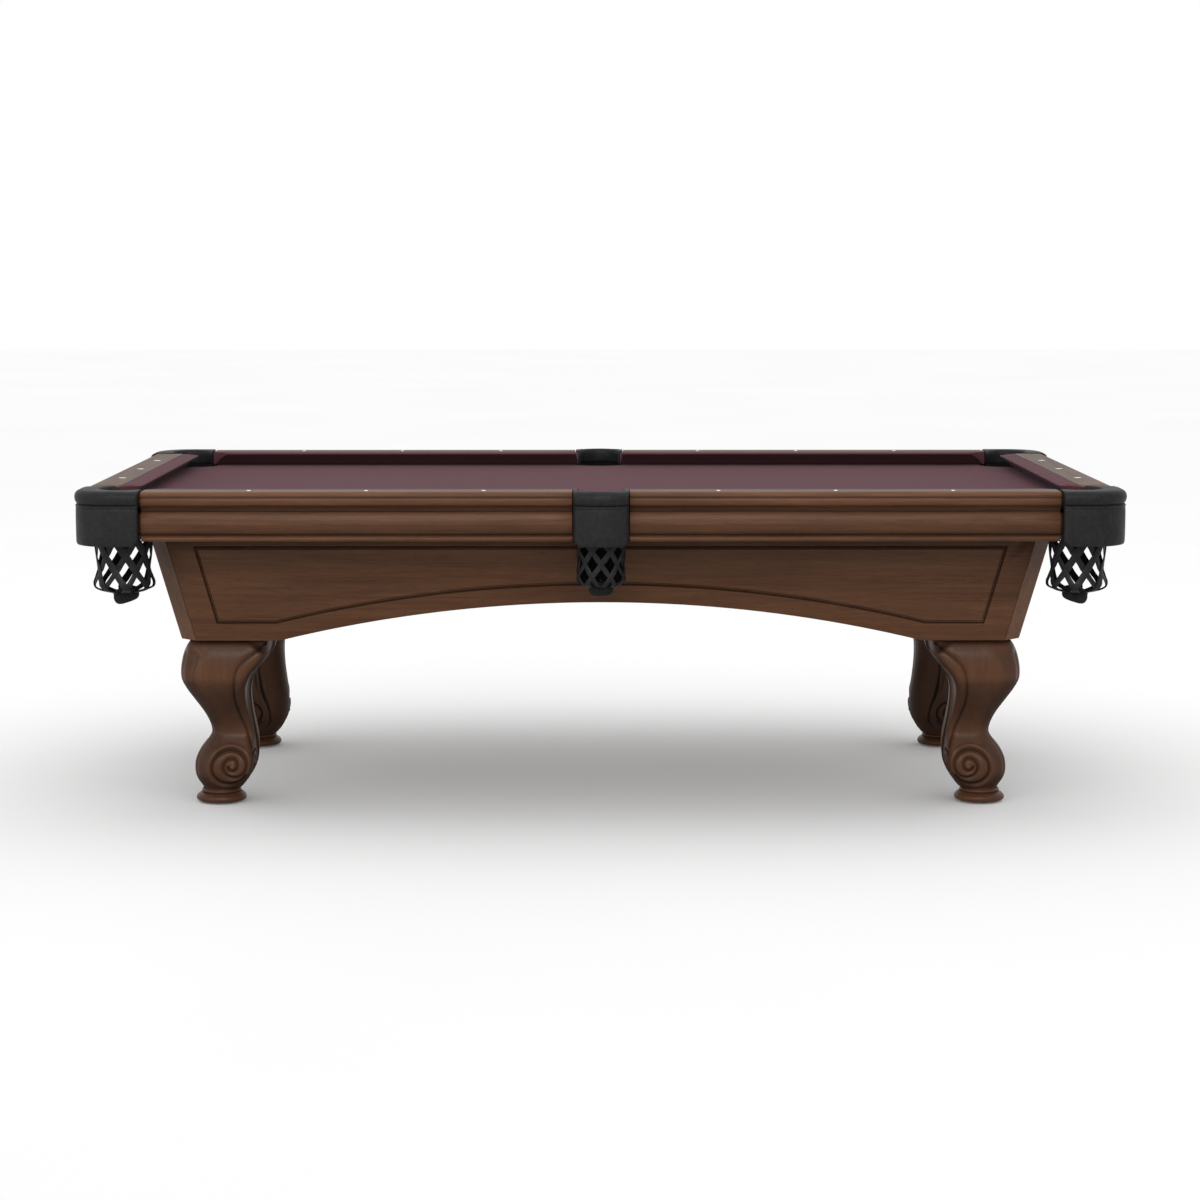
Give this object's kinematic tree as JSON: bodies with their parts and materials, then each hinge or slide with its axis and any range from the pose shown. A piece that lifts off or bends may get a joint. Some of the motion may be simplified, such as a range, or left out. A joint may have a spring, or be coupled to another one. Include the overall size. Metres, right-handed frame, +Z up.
{
  "type": "pool table",
  "caption": "Traditional slate-bed pool table with arched walnut cabinet, carved scroll legs, wine cloth, and leather drop pockets with woven strap nets.",
  "frame": {"origin": "on the floor under the middle of the table", "axes": "+X along the length to the right, +Y across to the back, +Z up"},
  "size_m": [2.5192, 1.4376, 0.803],
  "materials": {
    "walnut": "satin walnut-brown stain with visible grain",
    "frame_wood": "bare planed poplar",
    "leather": "black semi-matt leather, stitched",
    "cloth": "wine worsted wool cloth, matt",
    "cushion": "rubber covered in the same wine cloth",
    "slate": "honed grey slate",
    "sight": "polished white sight inlays",
    "steel": "zinc-plated"
  },
  "bodies": {
    "table": {"rail_front_left": "walnut", "rail_front_right": "walnut", "rail_back_left": "walnut", "rail_back_right": "walnut", "rail_left": "walnut", "rail_right": "walnut", "blind_front_left": "walnut", "blind_front_right": "walnut", "blind_back_left": "walnut", "blind_back_right": "walnut", "blind_left": "walnut", "blind_right": "walnut", "cushion_front_left": "cushion", "cushion_front_right": "cushion", "cushion_back_left": "cushion", "cushion_back_right": "cushion", "cushion_left": "cushion", "cushion_right": "cushion", "pocket_iron_front_left": "leather", "pocket_iron_front_right": "leather", "pocket_iron_back_left": "leather", "pocket_iron_back_right": "leather", "pocket_iron_front": "leather", "pocket_iron_back": "leather", "pocket_net_front_left": "leather", "pocket_net_front_right": "leather", "pocket_net_back_left": "leather", "pocket_net_back_right": "leather", "pocket_net_front": "leather", "pocket_net_back": "leather", "slate_left": "slate", "slate_middle": "slate", "slate_right": "slate", "bed_cloth": "cloth", "apron_front": "walnut", "apron_back": "walnut", "apron_left": "walnut", "apron_right": "walnut", "post_front_left": "walnut", "post_front_right": "walnut", "post_back_left": "walnut", "post_back_right": "walnut", "leg_front_left": "walnut", "leg_front_right": "walnut", "leg_back_left": "walnut", "leg_back_right": "walnut", "side_beam_front": "frame_wood", "side_beam_back": "frame_wood", "end_beam_left": "frame_wood", "end_beam_right": "frame_wood", "cross_beam_left": "frame_wood", "cross_beam_right": "frame_wood", "center_beam": "frame_wood"},
    "leveler_front_left": {"leveler_front_left": "steel"},
    "leveler_front_right": {"leveler_front_right": "steel"},
    "leveler_back_left": {"leveler_back_left": "steel"},
    "leveler_back_right": {"leveler_back_right": "steel"}
  },
  "joints": [
    {"name": "level_front_left", "type": "slide", "parent": "table", "child": "leveler_front_left", "axis": [0, 0, -1], "range_m": [0, 0.015]},
    {"name": "level_front_right", "type": "slide", "parent": "table", "child": "leveler_front_right", "axis": [0, 0, -1], "range_m": [0, 0.015]},
    {"name": "level_back_left", "type": "slide", "parent": "table", "child": "leveler_back_left", "axis": [0, 0, -1], "range_m": [0, 0.015]},
    {"name": "level_back_right", "type": "slide", "parent": "table", "child": "leveler_back_right", "axis": [0, 0, -1], "range_m": [0, 0.015]}
  ]
}
